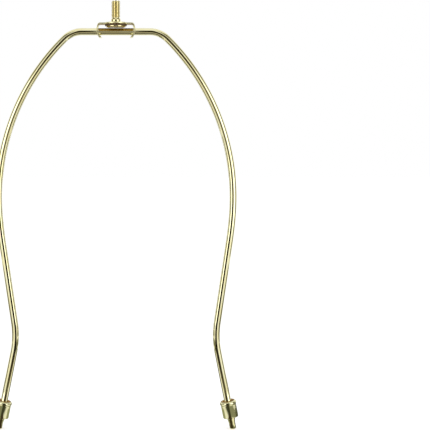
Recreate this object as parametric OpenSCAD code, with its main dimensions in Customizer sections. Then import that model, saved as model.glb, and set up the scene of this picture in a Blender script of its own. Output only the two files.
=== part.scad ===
// Lamp harp: a bent wire bow with a swivelling shade stud and two loose locking sleeves.
// Lengths are in millimetres and angles in degrees. The bow lies in the XZ plane, +Z is up,
// and the origin is midway between the two leg tips, level with their lowest point.

/* [Bow] */
// Diameter of the wire
wire_d = 5; // [3.5:0.1:6]
// Half the length of the straight top bar
bar_half = 24.3; // [20:0.1:34]
// Bend radius, to the wire's centre, of the corner beside the top bar
corner_r = 18; // [12:0.5:30]
// Angle that the corner turns through
corner_turn = 44.8; // [38:0.1:52]
// Bend radius of the long shoulder
shoulder_r = 160; // [130:1:190]
// Angle that the shoulder turns through
shoulder_turn = 49; // [44:0.1:52]
// Bend radius of the flatter stretch below the widest point
flank_r = 268; // [200:1:340]
// Angle that the flatter stretch turns through
flank_turn = 4.5; // [3:0.1:8]
// Length of the straight stretch above the kink
flank_len = 59; // [40:1:90]
// Bend radius of the kink that turns each leg outward
kink_r = 63; // [40:1:90]
// Angle between each leg and the vertical, below the kink
leg_lean = 11.4; // [8:0.1:16]
// Length of the straight leg, from the kink to the tip
leg_len = 56.7; // [44:0.1:80]

/* [Leg ends] */
// Diameter of the plain end below the stop collar, which the collar's dies draw down a little
tip_d = 4.6; // [3.8:0.1:5]
// Length of that plain end
tip_len = 4.4; // [3:0.1:8]
// Chamfer on its tip
tip_chamfer = 0.4; // [0.2:0.1:0.8]
// Length of the stop collar's taper
collar_taper_len = 5; // [2:0.1:7]
// Length of the collar's straight part, above the taper
collar_len = 4; // [2:0.1:6]
// How far the collar stands out from the wire
collar_rise = 0.6; // [0.4:0.05:0.9]

/* [Sleeves] */
// Diameter of the sleeve's body
sleeve_d = 11; // [10:0.1:14]
// Overall length of the sleeve
sleeve_len = 12.1; // [11:0.1:18]
// How far the rounded lip stands out from the body
lip_rise = 0.4; // [0.2:0.05:0.8]
// Height of the lip below its rounded shoulder
lip_h = 0.7; // [0.4:0.1:1.5]
// Radius of the lip's shoulder
shoulder_round = 1.4; // [0.8:0.1:1.6]
// Depth of the dish round the wire in the sleeve's top
dish_depth = 0.7; // [0.3:0.1:1.2]
// Depth of the socket in the sleeve's lower end
socket_depth = 5; // [2:0.1:6]
// Wall of the sleeve round that socket
sleeve_wall = 1.2; // [0.8:0.1:1.4]
// Chamfer on the sleeve's lower edge
sleeve_chamfer = 0.4; // [0.2:0.1:0.7]
// Radial clearance between the sleeve's bore and the wire
sleeve_play = 0.3; // [0.1:0.05:0.4]
// Gap between the sleeve and the collar that stops it
seat_gap = 0.1; // [0.05:0.05:0.3]

/* [Bracket] */
// Thickness of the bracket's sheet
sheet_t = 1.2; // [0.8:0.1:2]
// Height of the bracket's underside above the centre of the top bar
bracket_rise = 5.1; // [4.9:0.1:8]
// Diameter of the round pad under the stud
pad_d = 16.4; // [15.9:0.1:19]
// Width of the strip that joins the pad to each ear
strip_w = 6; // [4:0.1:8]
// Overall length of the bracket, outside its ears
bracket_len = 27.7; // [25:0.1:34]
// Outer radius of the bend between strip and ear
bracket_bend_r = 1.9; // [1.8:0.1:3]
// Outer radius of the ear's bow
ear_bow_r = 8.6; // [8:0.1:14]
// Angle of the ear's bow above its widest point
ear_top_angle = 27; // [20:1:36]
// Radius of the ear's round end, about the top bar
ear_r = 4.5; // [4:0.1:6]
// Radial clearance between the ear's bore and the wire
ear_play = 0.15; // [0.05:0.05:0.3]

/* [Stud] */
// Major diameter of the thread
thread_d = 6.35; // [5:0.05:8]
// Length of the thread
thread_len = 11.9; // [8:0.1:20]
// Chamfer on the thread's end
thread_chamfer = 0.5; // [0.2:0.1:1]
// Diameter of the waist between thread and collar
waist_d = 5.6; // [4.6:0.1:6.2]
// Height of that waist
waist_h = 0.5; // [0.3:0.1:1]
// Largest diameter of the barrel collar on the pad
barrel_d = 7; // [6.6:0.1:10]
// Height of the barrel collar
barrel_h = 3.1; // [2:0.1:5]
// How much smaller the barrel is at its ends than in its middle, on the radius
barrel_round = 0.4; // [0.2:0.05:0.6]
// Diameter of the tenon that goes through the pad
tenon_d = 4.4; // [3.6:0.1:5]
// Radial clearance between the tenon and the pad
tenon_play = 0.1; // [0.05:0.05:0.2]
// Gap that leaves the stud free to turn
turn_gap = 0.05; // [0.03:0.01:0.1]

/* [Washer and disc] */
// Diameter of the dark washer under the pad
washer_d = 15.6; // [14:0.1:15.8]
// Thickness of the washer
washer_t = 1.1; // [0.8:0.1:1.3]
// Rounding of the washer's rim
washer_round = 0.35; // [0.1:0.05:0.38]
// Diameter of the retaining disc
disc_d = 13.9; // [11:0.1:15]
// Diameter of the disc's flat underside
disc_foot_d = 10.6; // [8:0.1:10.8]
// Height of the disc's rim
disc_rim_h = 0.75; // [0.5:0.05:1]
// Gap between the disc and the top bar
bar_gap = 0.2; // [0.15:0.05:0.4]
// Diameter of the peened head on the tenon
peen_d = 6; // [5.2:0.1:7]
// Depth of the peened head in the disc
peen_h = 0.6; // [0.4:0.1:0.8]

/* [Hidden] */
$fn = 72;

// Facets round the wire, and round a full turn of a wire bend
wire_fn = 48;
bend_fn = 240;
// Step between the points of a rounded profile, and steps from the barrel's middle to its end
arc_step = 15;
barrel_steps = 4;
// Steps between the points of the sheet's bow and of its bends
sheet_step = 3;
bend_step = 7;
// Length of the band that joins two lengths of wire, and how far its middle stands out
joint_len = 1.2;
joint_rise = 0.03;
// How far short of a joint each bend stops
joint_trim = 0.01;
// Overrun of a cutting tool past the face it cuts
over = 1;

brass = [0.80, 0.74, 0.46];
dark_brown = [0.27, 0.18, 0.12];

wire_r = wire_d / 2;
tip_r = tip_d / 2;

// The wire's path is worked out on the +X side, as [x, z] below the top bar. A heading is the
// angle that the path has turned down from +X.
shoulder_heading = corner_turn + shoulder_turn;
flank_heading = shoulder_heading + flank_turn;
leg_heading = 90 - leg_lean;

function along(heading) = [cos(heading), -sin(heading)];

// End of a bend. A positive radius turns the path down and in, a negative one turns it out.
function bend_end(start, r, from, to) = start + r * [sin(to) - sin(from), cos(to) - cos(from)];

bar_end = [bar_half, 0];
corner_end = bend_end(bar_end, corner_r, 0, corner_turn);
shoulder_end = bend_end(corner_end, shoulder_r, corner_turn, shoulder_heading);
flank_start = bend_end(shoulder_end, flank_r, shoulder_heading, flank_heading);
flank_end = flank_start + flank_len * along(flank_heading);
kink_end = bend_end(flank_end, -kink_r, flank_heading, leg_heading);
tip = kink_end + leg_len * along(leg_heading);

// The lowest corner of a leaning tip is below the middle of its end face.
tip_rise = (tip_r - tip_chamfer) * sin(leg_lean);
bar_z = tip_rise - tip[1];

// Distances up the leg from its tip
collar_low = tip_len + collar_taper_len;
collar_top = collar_low + collar_len;
collar_r = wire_r + collar_rise;
socket_top = collar_top + seat_gap;
sleeve_low = socket_top - socket_depth;

// Heights on the stud's axis
plate_low = bar_z + bracket_rise;
plate_top = plate_low + sheet_t;
washer_low = plate_low - washer_t;
disc_top = washer_low - turn_gap;
disc_rim_low = disc_top - disc_rim_h;
disc_low = bar_z + wire_r + bar_gap;
barrel_low = plate_top + turn_gap;
barrel_top = barrel_low + barrel_h;
thread_low = barrel_top + waist_h;
thread_top = thread_low + thread_len;

tenon_r = tenon_d / 2;

// Points of an arc in a profile, about a centre, between two angles
function arc_points(centre, r, from, to, step = arc_step) =
    let (steps = ceil(abs(to - from) / step))
    [
        for (i = [0:steps])
            let (a = from + (to - from) * i / steps)
            centre + r * [cos(a), sin(a)]
    ];

// A straight length of wire from a point of the path
module wire_straight(start, heading, length) {
    translate([start[0], 0, start[1]])
        rotate([0, 90 + heading, 0])
            cylinder(h = length, r = wire_r);
}

// A bent length of wire from a point of the path, with the radius signed as in bend_end. It stops
// short of both ends by the joint's trim.
module wire_bend(start, r, from, to) {
    centre = start - r * [sin(from), cos(from)];
    trim_angle = joint_trim / abs(r) * 180 / PI;
    turn = abs(to - from) - 2 * trim_angle;
    first = (r > 0 ? 90 - to : 270 - from) + trim_angle;
    translate([centre[0], 0, centre[1]])
        rotate([90, 0, 0])
            rotate_extrude(angle = turn, start = first, $fn = bend_fn)
                translate([abs(r), 0])
                    circle(r = wire_r, $fn = wire_fn);
}

// Section through the band that joins two lengths of wire, as [radius, distance along the wire]. It
// tapers from just inside the wire to a hair outside it, so that it covers the ends that it joins.
joint_profile = [
    [0, -joint_len / 2],
    [wire_r - joint_rise, -joint_len / 2],
    [wire_r + joint_rise, -joint_len / 6],
    [wire_r + joint_rise, joint_len / 6],
    [wire_r - joint_rise, joint_len / 2],
    [0, joint_len / 2]
];

module wire_joint(at, heading) {
    translate([at[0], 0, at[1]])
        rotate([0, 90 + heading, 0])
            rotate_extrude()
                polygon(joint_profile);
}

// Places its child on the right leg, with the child's +Z up the leg from the tip
module on_leg() {
    translate([tip[0], 0, bar_z + tip[1]])
        rotate([0, -leg_lean, 0])
            children();
}

// Section through the straight leg, its stop collar and its chamfered end, as
// [radius, height up the leg]
leg_profile = [
    [0, 0],
    [tip_r - tip_chamfer, 0],
    [tip_r, tip_chamfer],
    [tip_r, tip_len],
    [collar_r, collar_low],
    [collar_r, collar_top],
    [wire_r, collar_top],
    [wire_r, leg_len],
    [0, leg_len]
];

module leg() {
    rotate_extrude($fn = wire_fn)
        polygon(leg_profile);
}

module half_bow() {
    translate([0, 0, bar_z]) {
        wire_bend(bar_end, corner_r, 0, corner_turn);
        wire_bend(corner_end, shoulder_r, corner_turn, shoulder_heading);
        wire_bend(shoulder_end, flank_r, shoulder_heading, flank_heading);
        wire_straight(flank_start, flank_heading, flank_len);
        wire_bend(flank_end, -kink_r, flank_heading, leg_heading);
        wire_joint(bar_end, 0);
        wire_joint(corner_end, corner_turn);
        wire_joint(shoulder_end, shoulder_heading);
        wire_joint(flank_start, flank_heading);
        wire_joint(flank_end, flank_heading);
        wire_joint(kink_end, leg_heading);
    }
    on_leg() leg();
}

module bow() {
    color(brass)
        union() {
            translate([0, 0, bar_z])
                wire_straight([-bar_half, 0], 0, 2 * bar_half);
            half_bow();
            mirror([1, 0, 0]) half_bow();
        }
}

// Section through one side of the sleeve, as [radius, height up the leg]
sleeve_r = sleeve_d / 2;
lip_r = sleeve_r + lip_rise;
sleeve_top = sleeve_low + sleeve_len;
lip_top = sleeve_top - shoulder_round;
lip_low = lip_top - lip_h;
bore_r = wire_r + sleeve_play;
socket_r = sleeve_r - sleeve_wall;
sleeve_profile = concat(
    [
        [bore_r, socket_top],
        [socket_r, socket_top],
        [socket_r, sleeve_low],
        [sleeve_r - sleeve_chamfer, sleeve_low],
        [sleeve_r, sleeve_low + sleeve_chamfer],
        [sleeve_r, lip_low - lip_rise],
        [lip_r, lip_low]
    ],
    arc_points([lip_r - shoulder_round, lip_top], shoulder_round, 0, 90),
    [[bore_r, sleeve_top - dish_depth]]
);

module sleeve() {
    on_leg()
        rotate_extrude()
            polygon(sleeve_profile);
}

module right_sleeve() {
    color(brass) sleeve();
}

module left_sleeve() {
    color(brass)
        mirror([1, 0, 0]) sleeve();
}

// The bracket's sheet bends down from the strip and then bows out and back in as an ear. The
// ear's bow is widest where its centre lies.
ear_centre_x = bracket_len / 2 - ear_bow_r;
bend_centre_x = ear_centre_x + (ear_bow_r - bracket_bend_r) * cos(ear_top_angle);
bend_centre_z = plate_top - bracket_bend_r;
ear_centre_z = bend_centre_z - (ear_bow_r - bracket_bend_r) * sin(ear_top_angle);
ear_low_angle = 60;
ear_w = 2 * max(ear_r, strip_w / 2) + over;

// One face of the sheet on the +X side, as [x, z] from the ear's end up to the strip. The depth is
// how far the face lies inside the sheet's outer face.
function sheet_face(depth) =
    let (
        ear = arc_points([ear_centre_x, ear_centre_z], ear_bow_r - depth,
                         -ear_low_angle, ear_top_angle, sheet_step),
        bend = arc_points([bend_centre_x, bend_centre_z], bracket_bend_r - depth,
                          ear_top_angle, 90, bend_step)
    )
    concat(ear, [for (i = [1:len(bend) - 1]) bend[i]]);

function mirrored(points) = [for (p = points) [-p[0], p[1]]];
function reversed(points) = [for (i = [len(points) - 1:-1:0]) points[i]];

// Section through the whole sheet, seen along Y
module sheet_section() {
    outer = sheet_face(0);
    inner = sheet_face(sheet_t);
    polygon(concat(outer, reversed(mirrored(outer)), mirrored(inner), reversed(inner)));
}

// Outline of the sheet seen along X: a round end about the top bar, and the strip above it
module sheet_outline() {
    translate([-bracket_len / 2 - over, 0, bar_z])
        rotate([0, 90, 0])
            cylinder(h = bracket_len + 2 * over, r = ear_r);
    translate([-bracket_len / 2 - over, -strip_w / 2, bar_z])
        cube([bracket_len + 2 * over, strip_w, plate_top - bar_z + over]);
}

module sheet() {
    intersection() {
        rotate([90, 0, 0])
            linear_extrude(ear_w, center = true)
                sheet_section();
        sheet_outline();
    }
}

module swivel_bracket() {
    color(brass)
        difference() {
            union() {
                translate([0, 0, plate_low])
                    cylinder(h = sheet_t, d = pad_d);
                sheet();
            }
            translate([0, 0, plate_low - over])
                cylinder(h = sheet_t + 2 * over, r = tenon_r + tenon_play);
            translate([-bracket_len / 2 - over, 0, bar_z])
                rotate([0, 90, 0])
                    cylinder(h = bracket_len + 2 * over, r = wire_r + ear_play);
        }
}

// Section through the stud, as [radius, height]. The barrel's side is part of a circle.
barrel_r = barrel_d / 2;
barrel_middle = (barrel_low + barrel_top) / 2;
barrel_arc_r = (barrel_h * barrel_h / 4 + barrel_round * barrel_round) / (2 * barrel_round);
barrel_arc_angle = asin(barrel_h / 2 / barrel_arc_r);
waist_r = waist_d / 2;
thread_r = thread_d / 2;
peen_r = peen_d / 2;
stud_profile = concat(
    [
        [0, disc_low],
        [peen_r, disc_low],
        [tenon_r, disc_low + peen_h],
        [tenon_r, barrel_low]
    ],
    [
        for (i = [-barrel_steps:barrel_steps])
            let (a = barrel_arc_angle * i / barrel_steps)
            [barrel_r - barrel_arc_r * (1 - cos(a)), barrel_middle + barrel_arc_r * sin(a)]
    ],
    [
        [waist_r, barrel_top],
        [waist_r, thread_low],
        [thread_r, thread_low],
        [thread_r, thread_top - thread_chamfer],
        [thread_r - thread_chamfer, thread_top],
        [0, thread_top]
    ]
);

module shade_stud() {
    color(brass)
        rotate_extrude()
            polygon(stud_profile);
}

washer_r = washer_d / 2;
washer_profile = concat(
    [[tenon_r + tenon_play, washer_low]],
    arc_points([washer_r - washer_round, washer_low + washer_round], washer_round, -90, 0),
    arc_points([washer_r - washer_round, plate_low - washer_round], washer_round, 0, 90),
    [[tenon_r + tenon_play, plate_low]]
);

module friction_washer() {
    color(dark_brown)
        rotate_extrude()
            polygon(washer_profile);
}

// The disc is bored to the tenon, with a countersink that the peened head fills.
disc_r = disc_d / 2;
disc_profile = [
    [peen_r, disc_low],
    [disc_foot_d / 2, disc_low],
    [disc_r, disc_rim_low],
    [disc_r, disc_top],
    [tenon_r, disc_top],
    [tenon_r, disc_low + peen_h]
];

module retaining_disc() {
    color(brass)
        rotate_extrude()
            polygon(disc_profile);
}

bow();
swivel_bracket();
shade_stud();
friction_washer();
retaining_disc();
left_sleeve();
right_sleeve();
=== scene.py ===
"""Lamp harp: plated wire bow, swivelling shade stud and two loose locking sleeves.

The harp's own lengths are in millimetres, as a workshop drawing gives them. The camera's and the studio's
are in metres. Angles are in degrees.
"""

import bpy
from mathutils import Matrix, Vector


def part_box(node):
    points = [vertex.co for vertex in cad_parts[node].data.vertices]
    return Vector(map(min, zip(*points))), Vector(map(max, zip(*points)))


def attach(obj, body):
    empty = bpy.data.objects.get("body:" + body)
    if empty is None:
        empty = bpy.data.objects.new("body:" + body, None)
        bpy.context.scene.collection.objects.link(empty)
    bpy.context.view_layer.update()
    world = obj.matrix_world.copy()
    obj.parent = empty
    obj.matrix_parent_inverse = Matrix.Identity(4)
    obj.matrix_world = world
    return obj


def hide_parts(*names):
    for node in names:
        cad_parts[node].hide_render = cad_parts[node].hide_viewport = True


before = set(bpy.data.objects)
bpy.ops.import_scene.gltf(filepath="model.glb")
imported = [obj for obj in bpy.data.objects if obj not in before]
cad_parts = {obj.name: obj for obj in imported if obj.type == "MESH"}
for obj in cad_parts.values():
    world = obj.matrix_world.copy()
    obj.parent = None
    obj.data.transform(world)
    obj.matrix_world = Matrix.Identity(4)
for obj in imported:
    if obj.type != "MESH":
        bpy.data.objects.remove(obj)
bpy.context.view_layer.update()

from math import radians, sin, cos, pi

import bmesh
import bpy
from mathutils import Matrix, Vector

MM = 0.001


# Sizes of the bow. Each bend is (radius, turn, steps).

WIRE_R = 2.5
WIRE_SIDES = 64
BAR_HALF = 24.3
BAR_Z = 286.1753
CORNER = (18.0, 44.8, 15)
SHOULDER = (160.0, 49.0, 34)
FLANK = (268.0, 4.5, 4)
FLANK_LEN = 59.0
KINK_R = 63.0
KINK_STEPS = 12
LEG_LEAN = 11.4
LEG_LEN = 56.7
TIP = (84.9455, 0.3755)
COLLAR_R = 3.1
TIP_R = 2.3
TIP_FACE_INSET = 0.4
TIP_FACE_SINK = 0.04

# Distance from the tip and radius, down the leg, through the stop collar to the chamfered tip
LEG_STEPS = ((30.0, WIRE_R), (13.6, WIRE_R), (13.4, 2.6), (13.38, 3.02), (13.2, COLLAR_R), (9.6, COLLAR_R),
             (9.0, 3.05), (5.0, 2.40), (4.4, 2.32), (3.9, TIP_R), (0.5, TIP_R), (0.35, 2.27), (0.06, 1.98),
             (0.0, 1.86))


def level(node, end):
    """Height of a solid's lowest (0) or highest (1) point."""
    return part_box(node)[end].z / MM


# Sizes of the bracket and of what is riveted through it

WASHER_LOW = level("friction_washer", 0)
PLATE_LOW = level("friction_washer", 1)
PLATE_TOP = level("swivel_bracket", 1)
DISC_LOW = level("retaining_disc", 0)
DISC_TOP = level("retaining_disc", 1)
PEEN_TOP = DISC_LOW + 0.6
BARREL_LOW = PLATE_TOP + 0.05
BARREL_TOP = BARREL_LOW + 3.1
THREAD_LOW = BARREL_TOP + 0.5
THREAD_FOOT = THREAD_LOW - 0.02
THREAD_TOP = level("shade_stud", 1)

BARREL_R = 3.5
BARREL_BEAD_R = 3.36
BARREL_BEAD = 0.75
BARREL_END_R = 3.05
RELIEF_R = 2.8
THREAD_R = 3.175
THREAD_ROOT_R = 2.62
THREAD_FLAT = 0.04
THREAD_PITCH = 25.4 / 27
THREAD_STEPS = 40
THREAD_CHAMFER = 0.5
TENON_R = 2.2
PEEN_R = 3.0
WASHER_BORE_R = 2.3
WASHER_R = 7.8
DISC_FACE_R = 5.3
DISC_BEVEL_R = 6.6
DISC_BEVEL = 0.36
DISC_R = 6.95
DISC_RIM_LOW = DISC_LOW + 0.62
SHEET_EDGE = 0.16
EAR_INSIDE = 11.8

# Sizes of the sleeves, with heights up the leg from its tip

SLEEVE_LOW = 8.5
SLEEVE_TOP = 20.6
SOCKET_TOP = 13.5
SLEEVE_BORE_R = 2.8
SOCKET_R = 4.3
SKIRT_R = 5.5
SLEEVE_R = 5.9
SKIRT_TOP = SLEEVE_TOP - 2.55
HEAD_LOW = SLEEVE_TOP - 2.1
DISH_R = 4.35
DISH_FLOOR_R = 3.6
DISH_DEPTH = 0.55
DISH_FINISH_R = 4.6

# How fine the turned forms are, and the angles between two faces over which their edge is shaded as an
# edge, over which the bracket's edge is rounded over, and under which two of its faces become one

TURN_STEPS = 96
CREASE = 32.0
SHARP_JOINT = 40.0
FLAT_JOINT = 0.6

# How close two points are when they are one, and how close a point is to a cut, in metres

WELD = 1e-7
SEAM_WELD = 1e-6
CLEAN_WELD = 2e-6
CUT_REACH = 1e-8

# The camera

SENSOR = 36.0
LENS = 82.28
LENS_SHIFT = (0.2305, -0.0687)
CAMERA_AT = (0.0, -0.705, 0.2035)
CAMERA_DIP = 2.2

lens_data = bpy.data.cameras.new("camera")
lens_data.sensor_width = SENSOR
lens_data.lens = LENS
lens_data.shift_x = LENS_SHIFT[0]
lens_data.shift_y = LENS_SHIFT[1]
camera = bpy.data.objects.new("camera", lens_data)
bpy.context.scene.collection.objects.link(camera)
camera.location = CAMERA_AT
camera.rotation_euler = (radians(90.0 - CAMERA_DIP), 0.0, 0.0)
bpy.context.scene.camera = camera


# Shading helpers

def put(tree, kind, feeds=None, **settings):
    """Adds a node, with its settings and with what feeds its inputs."""
    node = tree.nodes.new(kind)
    for name, value in settings.items():
        setattr(node, name, value)
    for key, value in (feeds or {}).items():
        socket = node.inputs[key]
        if isinstance(value, bpy.types.NodeSocket):
            tree.links.new(value, socket)
        else:
            socket.default_value = value
    return node


def sums(tree, operation, *values):
    """One step of arithmetic on the values."""
    node = put(tree, "ShaderNodeMath", dict(enumerate(values)), operation=operation)
    return node.outputs[0]


def ramp(tree, value, low, high, to_low=0.0, to_high=1.0):
    """A smooth rise, or fall, of one value as another goes from low to high."""
    node = put(tree, "ShaderNodeMapRange", {"Value": value, "From Min": low, "From Max": high,
                                            "To Min": to_low, "To Max": to_high},
               interpolation_type="SMOOTHSTEP")
    return node.outputs["Result"]


def noise(tree, vector, scale, detail, roughness=0.5):
    """Cloudy noise from 0 to 1."""
    node = put(tree, "ShaderNodeTexNoise", {"Vector": vector, "Scale": scale, "Detail": detail,
                                            "Roughness": roughness})
    return node.outputs["Fac"]


def parts_of(tree, vector):
    """A vector's three parts."""
    return put(tree, "ShaderNodeSeparateXYZ", {0: vector}).outputs


def distance_out(tree, parts):
    """Distance from the upright axis."""
    return sums(tree, "SQRT", sums(tree, "ADD", sums(tree, "MULTIPLY", parts[0], parts[0]),
                                   sums(tree, "MULTIPLY", parts[1], parts[1])))


def blend_colour(tree, mask, first, second):
    """One colour turned into another where the mask is 1."""
    return put(tree, "ShaderNodeMix", {"Factor": mask, 6: first, 7: second}, data_type="RGBA").outputs[2]


def blend_value(tree, mask, first, second):
    """One number turned into another where the mask is 1."""
    return put(tree, "ShaderNodeMix", {"Factor": mask, 2: first, 3: second}, data_type="FLOAT").outputs[0]


def between(tree, value, low, high, edge):
    """A mask that is 1 from low to high, in millimetres, with edges as soft as the last length."""
    rise = ramp(tree, value, (low - edge) * MM, low * MM)
    fall = ramp(tree, value, high * MM, (high + edge) * MM, 1.0, 0.0)
    return sums(tree, "MULTIPLY", rise, fall)


def empty_material(name):
    """A material without nodes yet, and its tree."""
    material = bpy.data.materials.new(name)
    material.use_nodes = True
    material.node_tree.nodes.clear()
    return material, material.node_tree


def group(name, inputs, outputs):
    """An empty node group with its inputs (name, kind, starting value) and outputs (name, kind)."""
    tree = bpy.data.node_groups.new(name, "ShaderNodeTree")
    for label, kind, default in inputs:
        socket = tree.interface.new_socket(name=label, in_out="INPUT", socket_type=kind)
        if default is not None:
            socket.default_value = default
    for label, kind in outputs:
        tree.interface.new_socket(name=label, in_out="OUTPUT", socket_type=kind)
    source = tree.nodes.new("NodeGroupInput").outputs
    result = tree.nodes.new("NodeGroupOutput").inputs
    return tree, source, result


# Finishes

PALE = (0.86, 0.82, 0.52, 1.0)
DEEP = (0.82, 0.755, 0.42, 1.0)
STUD_PALE = (0.85, 0.785, 0.48, 1.0)
STUD_DEEP = (0.79, 0.69, 0.35, 1.0)
DISC_PALE = (0.85, 0.72, 0.38, 1.0)
DISC_DEEP = (0.77, 0.58, 0.23, 1.0)
SLEEVE_PALE = (0.83, 0.80, 0.49, 1.0)
SLEEVE_DEEP = (0.77, 0.72, 0.38, 1.0)
# Golden browns painted on as shade and reflection: under the bracket, on the wire's bar below it, and in the
# sleeves' dished tops
GOLDEN_PAINTED_SHADE = (0.38, 0.245, 0.045, 1.0)
DEEP_GOLDEN_PAINTED_SHADE = (0.36, 0.20, 0.03, 1.0)
SPECK_TONE = (0.20, 0.13, 0.05, 1.0)
FIBRE_DARK = (0.060, 0.030, 0.011, 1.0)
FIBRE_LIGHT = (0.160, 0.092, 0.034, 1.0)

# Each scale is in features a metre, and each range says which part of the noise counts

BLOTCH_SCALE = 60.0
BLOTCH_RANGE = (0.36, 0.68)
SPECK_SCALE = 2600.0
SPECK_RANGE = (0.72, 0.80)
SPECK_AMOUNT = 0.25
LINE_SCALE = 2500.0
LINE_SHARE = 0.35
RIPPLE_SCALE = 420.0
SCUFF_SCALE = 95.0
WEAR_RANGE = (0.35, 0.68)
LINE_DEPTH = 0.004
LINE_STRENGTH = 0.15
DRAWN_SQUEEZE = 0.02
ROLLED_SQUEEZE = 0.05
# Gloss where the golden-brown painted shade and reflection are laid on
PAINTED_SHADE_ROUGH = 0.36
MOTTLE_SCALE = 700.0
MOTTLE_RANGE = (0.35, 0.65)
GRAIN_SCALE = 5200.0
GRAIN_RANGE = (0.3, 0.7)
GRAIN_DEPTH = 0.02
GRAIN_STRENGTH = 0.3
FIBRE_ROUGH = (0.38, 0.62)


def plating_tone():
    """Colour of the plating: pale, with slightly deeper blotches and a few specks."""
    tree, source, result = group(
        "plating tone",
        [("Lay", "NodeSocketVector", None), ("Pale", "NodeSocketColor", None),
         ("Deep", "NodeSocketColor", None), ("Blotch Scale", "NodeSocketFloat", BLOTCH_SCALE),
         ("Speck Amount", "NodeSocketFloat", SPECK_AMOUNT)],
        [("Color", "NodeSocketColor")])
    blotch = ramp(tree, noise(tree, source["Lay"], source["Blotch Scale"], 4.0), *BLOTCH_RANGE)
    toned = blend_colour(tree, blotch, source["Pale"], source["Deep"])
    speck = ramp(tree, noise(tree, source["Lay"], SPECK_SCALE, 1.0), *SPECK_RANGE)
    speck = sums(tree, "MULTIPLY", speck, source["Speck Amount"])
    tree.links.new(blend_colour(tree, speck, toned, SPECK_TONE), result["Color"])
    return tree


def tool_lines():
    """Fine lines left by the die or the lathe tool, and the faint ripple under them."""
    tree, source, result = group(
        "tool lines",
        [("Across", "NodeSocketVector", None), ("Lay", "NodeSocketVector", None),
         ("Line Scale", "NodeSocketFloat", LINE_SCALE), ("Rough Low", "NodeSocketFloat", 0.06),
         ("Rough High", "NodeSocketFloat", 0.16)],
        [("Height", "NodeSocketFloat"), ("Roughness", "NodeSocketFloat")])
    lines = noise(tree, source["Across"], source["Line Scale"], 4.0, 0.6)
    ripple = noise(tree, source["Lay"], RIPPLE_SCALE, 2.0)
    scuff = noise(tree, source["Lay"], SCUFF_SCALE, 5.0, 0.6)
    height = sums(tree, "ADD", sums(tree, "MULTIPLY", lines, LINE_SHARE), ripple)
    tree.links.new(height, result["Height"])
    wear = sums(tree, "ADD", sums(tree, "MULTIPLY", scuff, 0.6), sums(tree, "MULTIPLY", lines, 0.4))
    rough = put(tree, "ShaderNodeMapRange", {"Value": wear, "From Min": WEAR_RANGE[0],
                                             "From Max": WEAR_RANGE[1], "To Min": source["Rough Low"],
                                             "To Max": source["Rough High"]})
    tree.links.new(rough.outputs["Result"], result["Roughness"])
    return tree


PLATING_TONE = plating_tone()
TOOL_LINES = tool_lines()


def lay_of(tree):
    """The piece's own coordinates, kept on its points before it is bent or leant."""
    return put(tree, "ShaderNodeAttribute", attribute_name="lay").outputs["Vector"]


def across_of(tree, lay, way):
    """The piece's own coordinates with the lines' direction taken out: drawn lines run along the wire,
    turned lines run round the axis, and rolled lines run along the sheet."""
    parts = parts_of(tree, lay)
    if way == "drawn":
        kept = {0: parts[0], 1: parts[1], 2: sums(tree, "MULTIPLY", parts[2], DRAWN_SQUEEZE)}
    elif way == "turned":
        kept = {0: distance_out(tree, parts), 1: 0.0, 2: parts[2]}
    else:
        kept = {0: sums(tree, "MULTIPLY", parts[0], ROLLED_SQUEEZE), 1: parts[1], 2: parts[2]}
    return put(tree, "ShaderNodeCombineXYZ", kept).outputs[0]


def plated(name, way, pale, deep, rough, blotch_scale=BLOTCH_SCALE, painted_shade=None, cut_rough=None):
    """A bright brass-plated finish. Where its mask says, a golden-brown colour is painted on as shade and
    reflection, with a rougher gloss there, and cut edges are rougher."""
    material, tree = empty_material(name)
    lay = lay_of(tree)
    tone = put(tree, "ShaderNodeGroup", {"Lay": lay, "Pale": pale, "Deep": deep,
                                         "Blotch Scale": blotch_scale, "Speck Amount": SPECK_AMOUNT},
               node_tree=PLATING_TONE)
    lines = put(tree, "ShaderNodeGroup", {"Lay": lay, "Across": across_of(tree, lay, way),
                                          "Line Scale": LINE_SCALE, "Rough Low": rough[0],
                                          "Rough High": rough[1]},
                node_tree=TOOL_LINES)
    colour = tone.outputs["Color"]
    gloss = lines.outputs["Roughness"]
    # Painted shade and reflection: a golden-brown colour laid where the mask is 1
    if painted_shade:
        place, painted_shade_tone = painted_shade
        mask = place(tree, lay)
        colour = blend_colour(tree, mask, colour, painted_shade_tone)
        gloss = blend_value(tree, mask, gloss, PAINTED_SHADE_ROUGH)
    if cut_rough:
        cut = put(tree, "ShaderNodeAttribute", attribute_name="cut").outputs["Fac"]
        gloss = blend_value(tree, cut, gloss, cut_rough)
    bump = put(tree, "ShaderNodeBump", {"Height": lines.outputs["Height"], "Strength": LINE_STRENGTH,
                                        "Distance": LINE_DEPTH * MM})
    shader = put(tree, "ShaderNodeBsdfPrincipled",
                 {"Base Color": colour, "Metallic": 1.0, "Roughness": gloss,
                  "Normal": bump.outputs["Normal"]})
    put(tree, "ShaderNodeOutputMaterial", {"Surface": shader.outputs[0]})
    return material


def washer_finish():
    """The washer: dark brown fibre, matt, with a mottle and fine grain."""
    material, tree = empty_material("dark_fibre")
    lay = lay_of(tree)
    mottle = ramp(tree, noise(tree, lay, MOTTLE_SCALE, 5.0, 0.65), *MOTTLE_RANGE)
    colour = blend_colour(tree, mottle, FIBRE_DARK, FIBRE_LIGHT)
    grain = noise(tree, lay, GRAIN_SCALE, 2.0)
    rough = ramp(tree, grain, *GRAIN_RANGE, *FIBRE_ROUGH)
    bump = put(tree, "ShaderNodeBump", {"Height": grain, "Strength": GRAIN_STRENGTH,
                                        "Distance": GRAIN_DEPTH * MM})
    shader = put(tree, "ShaderNodeBsdfPrincipled",
                 {"Base Color": colour, "Roughness": rough, "Normal": bump.outputs["Normal"]})
    put(tree, "ShaderNodeOutputMaterial", {"Surface": shader.outputs[0]})
    return material


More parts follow.
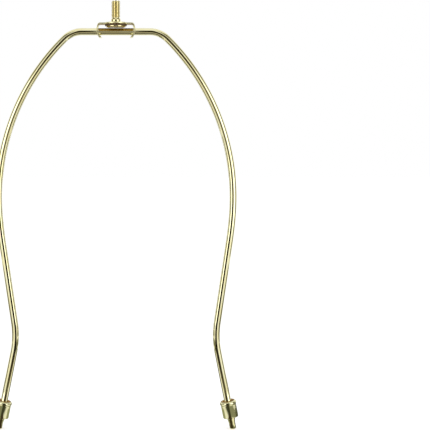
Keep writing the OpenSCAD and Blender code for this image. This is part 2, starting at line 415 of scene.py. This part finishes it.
def painted_shade_under_bracket(tree, lay):
    """The top of the wire's bar, between the bracket's ears, where the bracket's shade and its reflection
    are painted golden brown.
    """
    parts = parts_of(tree, lay)
    return sums(tree, "MULTIPLY", between(tree, parts[0], -9.0, -0.45, 0.6),
                between(tree, parts[2], -EAR_INSIDE, EAR_INSIDE, 1.2))


def painted_shade_sheet_underside(tree, lay):
    """The underside of the bracket's pad and strip, where its shade and reflection are painted golden brown.
    """
    return between(tree, parts_of(tree, lay)[2], PLATE_LOW - 0.2, PLATE_LOW + 0.1, 0.2)


def painted_shade_sleeve_dish(tree, lay):
    """The dished top of a sleeve, inside its lip, where the shade in the hollow is painted deeper golden
    brown.
    """
    parts = parts_of(tree, lay)
    return sums(tree, "MULTIPLY", between(tree, distance_out(tree, parts), 0.0, DISH_FINISH_R, 0.5),
                between(tree, parts[2], SLEEVE_TOP - 1.1, SLEEVE_TOP + 1.0, 0.2))


# The golden browns on the wire, the bracket and the sleeves are painted shade and painted reflection
WIRE_PLATING = plated("plated_wire", "drawn", PALE, DEEP, rough=(0.03, 0.10),
                      painted_shade=(painted_shade_under_bracket, GOLDEN_PAINTED_SHADE))
SHEET_PLATING = plated("plated_sheet", "rolled", PALE, DEEP, rough=(0.10, 0.22), blotch_scale=90.0,
                       painted_shade=(painted_shade_sheet_underside, GOLDEN_PAINTED_SHADE), cut_rough=0.42)
STUD_PLATING = plated("plated_stud", "turned", STUD_PALE, STUD_DEEP, rough=(0.08, 0.20))
DISC_PLATING = plated("plated_disc", "turned", DISC_PALE, DISC_DEEP, rough=(0.10, 0.22))
SLEEVE_PLATING = plated("plated_sleeve_and_painted_shade", "turned", SLEEVE_PALE, SLEEVE_DEEP, rough=(0.06, 0.16),
                        painted_shade=(painted_shade_sleeve_dish, DEEP_GOLDEN_PAINTED_SHADE))
WASHER_FIBRE = washer_finish()


# Making helpers

def note_lay(bm):
    """Keeps each point's place, so that the finish follows the piece however it is bent or leant."""
    lay = bm.verts.layers.float_vector.new("lay")
    for vert in bm.verts:
        vert[lay] = vert.co


def close_up(bm):
    """Joins points that lie together and turns all faces outwards."""
    bmesh.ops.remove_doubles(bm, verts=bm.verts, dist=WELD)
    bmesh.ops.recalc_face_normals(bm, faces=bm.faces)


def new_object(name, bm, material):
    """The worked mesh as an object in the scene, with its material."""
    mesh = bpy.data.meshes.new(name)
    bm.to_mesh(mesh)
    bm.free()
    mesh.materials.append(material)
    made = bpy.data.objects.new(name, mesh)
    bpy.context.scene.collection.objects.link(made)
    return made


def make_piece(name, bm, body, node, material):
    """A finished piece of the harp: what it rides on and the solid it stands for."""
    piece = new_object(name, bm, material)
    piece.data.shade_smooth()
    piece.data.set_sharp_from_angle(angle=radians(CREASE))
    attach(piece, body)
    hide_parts(node)


def turn(bm, outline, closed=False, smoothing=4):
    """Turns a section about +Z. Each corner is (radius, height, rounding)."""
    corners = [bm.verts.new((r * MM, 0.0, z * MM)) for r, z, _ in outline]
    ends = corners[1:] + corners[:1] if closed else corners[1:]
    for start, end in zip(corners, ends):
        bm.edges.new((start, end))
    for corner, (_, _, rounding) in zip(list(corners), outline):
        if rounding:
            bmesh.ops.bevel(bm, geom=[corner], offset=rounding * MM, offset_type="OFFSET",
                            affect="VERTICES", segments=smoothing, profile=0.5, material=-1)
    section = [v for v in bm.verts if not v.link_faces] + [e for e in bm.edges if not e.link_faces]
    bmesh.ops.spin(bm, geom=section, cent=(0, 0, 0), axis=(0, 0, 1), dvec=(0, 0, 0), angle=2 * pi,
                   steps=TURN_STEPS, use_merge=True, use_duplicate=False)


# Bow

class Wire:
    """A round wire that is drawn on, bent and swaged, one ring of points at a time."""

    def __init__(self, bm, at, sides):
        self.bm = bm
        self.lay = bm.verts.layers.float_vector.new("lay")
        self.at = Vector((at[0] * MM, 0.0, at[1] * MM))
        self.heading = 0.0
        self.run = 0.0
        self.radius = WIRE_R
        made = bmesh.ops.create_circle(bm, cap_ends=False, segments=sides, radius=WIRE_R * MM)
        for vert in made["verts"]:
            vert[self.lay] = vert.co
        self.ring = list({e for v in made["verts"] for e in v.link_edges})
        bmesh.ops.transform(bm, verts=made["verts"],
                            matrix=Matrix.Translation(self.at) @ Matrix.Rotation(pi / 2, 4, "Y"))

    def along(self):
        """The way the wire's end points."""
        return Vector((cos(radians(self.heading)), 0.0, -sin(radians(self.heading))))

    def settle(self, geom, length):
        """Takes the new ring as the wire's end, and notes how far along the wire it lies."""
        fresh = [g for g in geom if isinstance(g, bmesh.types.BMVert)]
        ends = set(fresh)
        self.ring = [g for g in geom if isinstance(g, bmesh.types.BMEdge) and g.verts[0] in ends
                     and g.verts[1] in ends]
        self.run += length
        for vert in fresh:
            vert[self.lay].z = self.run * MM
        return fresh

    def draw(self, length, radius=None):
        """A straight length, to a new radius if one is given."""
        made = bmesh.ops.extrude_edge_only(self.bm, edges=self.ring)
        fresh = self.settle(made["geom"], length)
        step = self.along() * length * MM
        bmesh.ops.translate(self.bm, verts=fresh, vec=step)
        self.at += step
        if radius is not None:
            bmesh.ops.scale(self.bm, verts=fresh, vec=[radius / self.radius] * 3,
                            space=Matrix.Translation(-self.at))
            self.radius = radius

    def bend(self, radius, turn_by, steps):
        """A bend down and in, or out where the radius is negative."""
        way = 1 if radius > 0 else -1
        for _ in range(steps):
            side = Vector((-sin(radians(self.heading)), 0.0, -cos(radians(self.heading))))
            centre = self.at + side * radius * MM
            angle = radians(turn_by / steps) * way
            made = bmesh.ops.spin(self.bm, geom=self.ring, cent=centre, axis=(0, 1, 0),
                                  dvec=(0, 0, 0), angle=angle, steps=1, use_merge=False,
                                  use_duplicate=False)
            self.settle(made["geom_last"], abs(radius * angle))
            self.at = centre + Matrix.Rotation(angle, 3, "Y") @ (self.at - centre)
            self.heading += turn_by / steps * way


def make_bow():
    """The bow: one half is worked from the middle of the bar to the tip, and then mirrored."""
    bm = bmesh.new()
    wire = Wire(bm, (0.0, BAR_Z), WIRE_SIDES)
    wire.draw(BAR_HALF)
    wire.bend(*CORNER)
    wire.bend(*SHOULDER)
    wire.bend(*FLANK)
    for _ in range(2):
        wire.draw(FLANK_LEN / 2)
    kink_turn = CORNER[1] + SHOULDER[1] + FLANK[1] - (90.0 - LEG_LEAN)
    wire.bend(-KINK_R, kink_turn, KINK_STEPS)
    left = LEG_LEN
    for from_tip, radius in LEG_STEPS:
        wire.draw(left - from_tip, radius)
        left = from_tip
    made = bmesh.ops.holes_fill(bm, edges=wire.ring, sides=0)
    bmesh.ops.inset_region(bm, faces=made["faces"], thickness=TIP_FACE_INSET * MM,
                           depth=-TIP_FACE_SINK * MM)
    bmesh.ops.mirror(bm, geom=bm.verts[:] + bm.edges[:] + bm.faces[:], matrix=Matrix.Identity(4),
                     merge_dist=SEAM_WELD, axis="X")
    for vert in bm.verts:
        if vert.co.x < -SEAM_WELD:
            vert[wire.lay].z = -vert[wire.lay].z
    close_up(bm)
    make_piece("wire_bow", bm, "bow", "bow", WIRE_PLATING)


# Stud, washer and disc

def make_thread(bm):
    """The thread: a tooth one pitch high, swept up a helix, trimmed level at both ends and chamfered."""
    crest_edge = THREAD_R - THREAD_FLAT
    # Radius, and height as a share of the pitch
    tooth = ((THREAD_ROOT_R, 0.0), (THREAD_ROOT_R, 0.12), (crest_edge, 0.42), (THREAD_R, 0.46),
             (THREAD_R, 0.54), (crest_edge, 0.58), (THREAD_ROOT_R, 0.88), (THREAD_ROOT_R, 1.0))
    turns = int((THREAD_TOP - THREAD_LOW) / THREAD_PITCH) + 3
    low = THREAD_LOW - 1.5 * THREAD_PITCH
    points = [bm.verts.new((r * MM, 0.0, (low + share * THREAD_PITCH) * MM)) for r, share in tooth]
    edges = [bm.edges.new(pair) for pair in zip(points, points[1:])]
    bmesh.ops.spin(bm, geom=points + edges, cent=(0, 0, 0), axis=(0, 0, 1),
                   dvec=(0, 0, THREAD_PITCH * MM / THREAD_STEPS), angle=2 * pi * turns,
                   steps=THREAD_STEPS * turns, use_merge=False, use_duplicate=False)
    bmesh.ops.remove_doubles(bm, verts=bm.verts, dist=CLEAN_WELD)
    for height, way in ((THREAD_FOOT, -1), (THREAD_TOP, 1)):
        geom = bm.verts[:] + bm.edges[:] + bm.faces[:]
        cut = bmesh.ops.bisect_plane(bm, geom=geom, dist=CUT_REACH, plane_co=(0, 0, height * MM),
                                     plane_no=(0, 0, way), clear_outer=True)
        rim = [e for e in cut["geom_cut"] if isinstance(e, bmesh.types.BMEdge)]
        bmesh.ops.holes_fill(bm, edges=rim, sides=0)
    for vert in bm.verts:
        out = vert.co.to_2d().length
        near_end = min(THREAD_TOP * MM - vert.co.z, vert.co.z - THREAD_FOOT * MM)
        most = (THREAD_R - THREAD_CHAMFER) * MM + near_end
        if out > most:
            vert.co.x *= most / out
            vert.co.y *= most / out


def make_stud():
    """The stud: thread, beaded barrel, and the tenon that is peened over under the disc."""
    bm = bmesh.new()
    make_thread(bm)
    middle = (BARREL_LOW + BARREL_TOP) / 2
    turn(bm, [(0.0, DISC_LOW, 0), (PEEN_R - 0.05, DISC_LOW, 0.1), (TENON_R, PEEN_TOP, 0),
              (TENON_R, BARREL_LOW, 0), (BARREL_END_R, BARREL_LOW, 0.12),
              (BARREL_BEAD_R, BARREL_LOW + BARREL_BEAD, 0.35), (BARREL_R, middle, 0.5),
              (BARREL_BEAD_R, BARREL_TOP - BARREL_BEAD, 0.35), (BARREL_END_R, BARREL_TOP, 0.12),
              (RELIEF_R, BARREL_TOP + 0.03, 0.02), (RELIEF_R - 0.05, THREAD_LOW, 0), (0.0, THREAD_LOW, 0)])
    note_lay(bm)
    close_up(bm)
    make_piece("shade_thread_stud", bm, "stud", "shade_stud", STUD_PLATING)


def make_washer():
    """The fibre washer between the bracket's pad and the disc."""
    bm = bmesh.new()
    turn(bm, [(WASHER_BORE_R, WASHER_LOW, 0.1), (WASHER_R, WASHER_LOW, 0.4), (WASHER_R, PLATE_LOW, 0.4),
              (WASHER_BORE_R, PLATE_LOW, 0.1)], closed=True, smoothing=6)
    note_lay(bm)
    close_up(bm)
    make_piece("friction_ring", bm, "bracket", "friction_washer", WASHER_FIBRE)


def make_disc():
    """The turned disc, with a countersunk bore that takes the peened tenon."""
    bm = bmesh.new()
    turn(bm, [(PEEN_R, DISC_LOW, 0.05), (DISC_FACE_R, DISC_LOW, 0.4),
              (DISC_BEVEL_R, DISC_LOW + DISC_BEVEL, 0.25), (DISC_R, DISC_RIM_LOW, 0.15),
              (DISC_R, DISC_TOP, 0.15), (TENON_R, DISC_TOP, 0), (TENON_R, PEEN_TOP, 0)],
         closed=True, smoothing=5)
    note_lay(bm)
    close_up(bm)
    make_piece("peened_disc", bm, "stud", "retaining_disc", DISC_PLATING)


# Sleeves

def make_sleeve(side, name, node):
    """A sleeve: turned upright, then leant over and put on its leg. Its body has its solid's name."""
    bm = bmesh.new()
    turn(bm, [(SLEEVE_BORE_R, SOCKET_TOP, 0), (SOCKET_R, SOCKET_TOP, 0.1), (SOCKET_R, SLEEVE_LOW, 0.15),
              (SKIRT_R, SLEEVE_LOW, 0.35), (SKIRT_R, SKIRT_TOP, 0.25), (SLEEVE_R, HEAD_LOW, 0.2),
              (SLEEVE_R, SLEEVE_TOP, 1.35), (DISH_R, SLEEVE_TOP - 0.02, 0.2),
              (DISH_FLOOR_R, SLEEVE_TOP - DISH_DEPTH, 0.2),
              (SLEEVE_BORE_R, SLEEVE_TOP - DISH_DEPTH - 0.13, 0.08)], closed=True, smoothing=8)
    note_lay(bm)
    close_up(bm)
    lean = Matrix.Rotation(radians(-side * LEG_LEAN), 4, "Y")
    place = Matrix.Translation((side * TIP[0] * MM, 0.0, TIP[1] * MM)) @ lean
    bmesh.ops.transform(bm, matrix=place, verts=bm.verts)
    make_piece(name, bm, node, node, SLEEVE_PLATING)


# Bracket

def make_bracket():
    """The stamped bracket, worked on its own solid: the sheared edges are rounded over and marked as cut."""
    bm = bmesh.new()
    bm.from_mesh(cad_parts["swivel_bracket"].data)
    bmesh.ops.remove_doubles(bm, verts=bm.verts, dist=CLEAN_WELD)
    bmesh.ops.dissolve_limit(bm, angle_limit=radians(FLAT_JOINT), verts=bm.verts, edges=bm.edges)
    sharp = [e for e in bm.edges if len(e.link_faces) == 2 and e.calc_face_angle() > radians(SHARP_JOINT)]
    bmesh.ops.bevel(bm, geom=sharp, offset=SHEET_EDGE * MM, offset_type="OFFSET", affect="EDGES",
                    segments=3, profile=0.5, material=-1, clamp_overlap=True)
    cut = bm.verts.layers.float.new("cut")
    for face in bm.faces:
        rim = face.calc_center_median().z > PLATE_LOW * MM and abs(face.normal.z) < 0.3
        if rim or abs(face.normal.y) > 0.6:
            for vert in face.verts:
                vert[cut] = 1.0
    note_lay(bm)
    make_piece("stamped_bracket", bm, "bracket", "swivel_bracket", SHEET_PLATING)


make_bow()
make_stud()
make_washer()
make_disc()
make_sleeve(-1, "locking_sleeve_left", "left_sleeve")
make_sleeve(1, "locking_sleeve_right", "right_sleeve")
make_bracket()


# Studio: white all round, with cards and two lamps. The cards give the wire its dark lines.

MIDDLE = (0.0, 0.0, 0.16)
WHITE = (1.0, 1.0, 1.0, 1.0)
PAPER = (0.86, 0.86, 0.86, 1.0)
FLOOR_HALF = 6.0
GLOW_IN_REFLECTIONS = 0.30
GLOW_FOR_CAMERA = 0.45
FILL_LIGHT = 0.75
LAMP_SIZE = (0.6, 0.75)
LAMP_POWER = 2.0


def seen_rays(tree):
    """The camera's rays as a mask, and a mask of them with the reflected and the refracted ones."""
    path = put(tree, "ShaderNodeLightPath").outputs
    seen = sums(tree, "MAXIMUM", path["Is Camera Ray"],
                sums(tree, "MAXIMUM", path["Is Glossy Ray"], path["Is Transmission Ray"]))
    return path["Is Camera Ray"], seen


def make_floor():
    """White paper that takes the shadow, and glows a little where it is seen."""
    material, tree = empty_material("floor_paper")
    by_camera, seen = seen_rays(tree)
    matt = put(tree, "ShaderNodeBsdfDiffuse", {"Color": PAPER})
    lift = ramp(tree, by_camera, 0.0, 1.0, GLOW_IN_REFLECTIONS, GLOW_FOR_CAMERA)
    glow = put(tree, "ShaderNodeEmission", {"Color": WHITE, "Strength": lift})
    lit = put(tree, "ShaderNodeAddShader", {0: glow.outputs[0], 1: matt.outputs[0]})
    both = put(tree, "ShaderNodeMixShader", {0: seen, 1: matt.outputs[0], 2: lit.outputs[0]})
    put(tree, "ShaderNodeOutputMaterial", {"Surface": both.outputs[0]})
    bm = bmesh.new()
    bmesh.ops.create_grid(bm, x_segments=1, y_segments=1, size=FLOOR_HALF)
    new_object("floor", bm, material)


def make_world():
    """White where it is seen, and a little less than white as light."""
    world = bpy.data.worlds.new("studio")
    bpy.context.scene.world = world
    world.use_nodes = True
    tree = world.node_tree
    tree.nodes.clear()
    _, seen = seen_rays(tree)
    strength = ramp(tree, seen, 0.0, 1.0, FILL_LIGHT, 1.0)
    ground = put(tree, "ShaderNodeBackground", {"Color": WHITE, "Strength": strength})
    put(tree, "ShaderNodeOutputWorld", {"Surface": ground.outputs[0]})


def make_card(name, at, size, aim, tone, soft):
    """A studio card, seen only in reflections, that faces the point it is aimed at. Soft is the share of
    each half over which its edge fades."""
    material, tree = empty_material(name)
    parts = parts_of(tree, put(tree, "ShaderNodeTexCoord").outputs["Object"])
    fades = [ramp(tree, sums(tree, "ABSOLUTE", parts[axis]), size[axis] / 2 * (1 - soft), size[axis] / 2,
                  1.0, 0.0) for axis in (0, 1)]
    mask = sums(tree, "MULTIPLY", *fades)
    clear = put(tree, "ShaderNodeBsdfTransparent")
    glow = put(tree, "ShaderNodeEmission", {"Color": tone + (1.0,), "Strength": 1.0})
    both = put(tree, "ShaderNodeMixShader", {0: mask, 1: clear.outputs[0], 2: glow.outputs[0]})
    put(tree, "ShaderNodeOutputMaterial", {"Surface": both.outputs[0]})
    bm = bmesh.new()
    bmesh.ops.create_grid(bm, x_segments=1, y_segments=1, size=0.5)
    bmesh.ops.scale(bm, verts=bm.verts, vec=(size[0], size[1], 1.0))
    card = new_object(name, bm, material)
    card.location = at
    card.rotation_euler = (Vector(aim) - Vector(at)).to_track_quat("Z", "Y").to_euler()
    card.visible_camera = False
    card.visible_diffuse = False
    card.visible_shadow = False
    card.visible_transmission = False
    card.visible_volume_scatter = False


def wall_card(name, x, y, z, tone, soft=0.2):
    """A card that stands upright at y, from x[0] to x[1] and z[0] to z[1], and faces the harp."""
    at = (sum(x) / 2, y, sum(z) / 2)
    make_card(name, at, (x[1] - x[0], z[1] - z[0]), (at[0], 0.0, at[2]), tone, soft)


def floor_card(name, x, y, tone, soft=0.2, lift=0.0008):
    """A card that lies just over the floor, from x[0] to x[1] and y[0] to y[1], and faces up."""
    at = (sum(x) / 2, sum(y) / 2, lift)
    make_card(name, at, (x[1] - x[0], y[1] - y[0]), (at[0], at[1], 1.0), tone, soft)


def make_lamp(name, at, aim):
    """A soft lamp, aimed at a point."""
    lamp = bpy.data.lights.new(name, "AREA")
    lamp.shape = "RECTANGLE"
    lamp.size, lamp.size_y = LAMP_SIZE
    lamp.energy = LAMP_POWER
    holder = bpy.data.objects.new(name, lamp)
    bpy.context.scene.collection.objects.link(holder)
    holder.location = at
    holder.rotation_euler = (Vector(aim) - Vector(at)).to_track_quat("-Z", "Y").to_euler()


# Tones of the cards that are used more than once
BLACK_GAP = (0.008, 0.006, 0.003)

# Cards across the middle: name, x from and to, y, z from and to, tone, soft edge
MIDDLE_WALLS = (
    ("front_gap_low", (-0.108, 0.108), -0.22, (0.0, 0.262), BLACK_GAP, 0.12),
    ("front_gap_foot", (-0.130, 0.130), -0.2205, (-0.03, 0.150), BLACK_GAP, 0.15),
    ("front_gap_middle", (-0.030, 0.030), -0.221, (0.225, 0.297), (0.13, 0.11, 0.07), 0.2),
    ("bar_card", (-0.040, 0.040), -0.10, (0.172, 0.236), (0.60, 0.56, 0.45), 0.2),
    ("front_gap_high", (-0.060, 0.060), -0.222, (0.335, 0.430), (0.060, 0.048, 0.020), 0.2),
    ("back_gap_high", (-0.070, 0.070), 0.241, (0.330, 0.420), (0.10, 0.085, 0.05), 0.2),
)

# Cards on the floor's middle: name, x from and to, y from and to, tone, soft edge, lift
MIDDLE_FLOORS = (
    ("floor_gap_near", (-0.115, 0.115), (-0.27, -0.10), (0.025, 0.020, 0.012), 0.2, 0.0008),
    ("floor_middle", (-0.150, 0.150), (-0.48, -0.06), (0.46, 0.45, 0.36), 0.1, 0.0002),
    ("floor_gap_under", (-0.050, 0.050), (-0.12, -0.035), (0.12, 0.10, 0.06), 0.2, 0.0003),
    ("floor_gap_far", (-0.098, 0.098), (-0.50, -0.23), (0.30, 0.28, 0.21), 0.2, 0.0004),
    ("inner_back", (-0.068, 0.068), (0.006, 0.14), (0.16, 0.16, 0.11), 0.2, 0.0008),
)

# Upright cards to each side, as the middle ones, with x as it is on the right
SIDE_WALLS = (
    ("back_gap_low", (0.045, 0.118), 0.24, (0.0, 0.300), (0.030, 0.025, 0.013), 0.2),
    ("front_gap_side", (0.015, 0.112), -0.223, (0.215, 0.370), (0.030, 0.024, 0.010), 0.2),
)

# Cards on the floor to each side, as the middle ones, with x as it is on the right
SIDE_FLOORS = (
    ("outer_floor", (0.22, 0.58), (-0.17, 0.26), (0.22, 0.215, 0.16), 0.3, 0.0008),
    ("foot_dark", (0.046, 0.090), (-0.125, -0.014), (0.050, 0.054, 0.030), 0.3, 0.0009),
    ("tip_dark", (0.074, 0.0858), (-0.014, -0.0008), (0.05, 0.04, 0.02), 0.1, 0.0008),
    ("tip_light", (0.0880, 0.1100), (-0.030, -0.0008), (1.0, 0.98, 0.88), 0.1, 0.0014),
    ("neck_dark", (0.070, 0.0925), (-0.030, -0.013), (0.06, 0.045, 0.025), 0.2, 0.0010),
    ("inner_foot", (0.052, 0.078), (-0.004, 0.05), (0.36, 0.375, 0.26), 0.1, 0.0009),
    ("foot_grey", (0.074, 0.195), (-0.10, 0.02), (0.26, 0.265, 0.19), 0.1, 0.0006),
    ("foot_back", (0.086, 0.210), (-0.018, 0.16), (0.10, 0.105, 0.065), 0.15, 0.0007),
)

# Flags up in the air to each side: name, place, size, aim, tone, soft edge
FLAGS = (
    ("side_flag", (0.60, 0.0, 0.30), (0.50, 1.4), (0.0, 0.0, 0.30), (0.20, 0.195, 0.16), 0.4),
    ("upper_flag", (0.52, -0.20, 0.74), (0.46, 0.46), MIDDLE, (0.18, 0.17, 0.13), 0.4),
    ("corner_flag", (0.325, -0.48, 0.78), (0.32, 0.42), (0.0, 0.0, 0.28), (0.15, 0.135, 0.09), 0.5),
)

make_floor()
make_world()
for card in MIDDLE_WALLS:
    wall_card(*card)
for card in MIDDLE_FLOORS:
    floor_card(*card)
for side in (-1, 1):
    make_lamp("softbox", (side * 0.80, -0.75, 0.28), MIDDLE)
    for name, at, size, aim, tone, soft in FLAGS:
        make_card(name, (side * at[0], at[1], at[2]), size, aim, tone, soft)
    for name, x, *rest in SIDE_WALLS:
        wall_card(name, sorted(side * end for end in x), *rest)
    for name, x, *rest in SIDE_FLOORS:
        floor_card(name, sorted(side * end for end in x), *rest)

bpy.context.scene.view_settings.view_transform = "Standard"

bpy.context.view_layer.update()
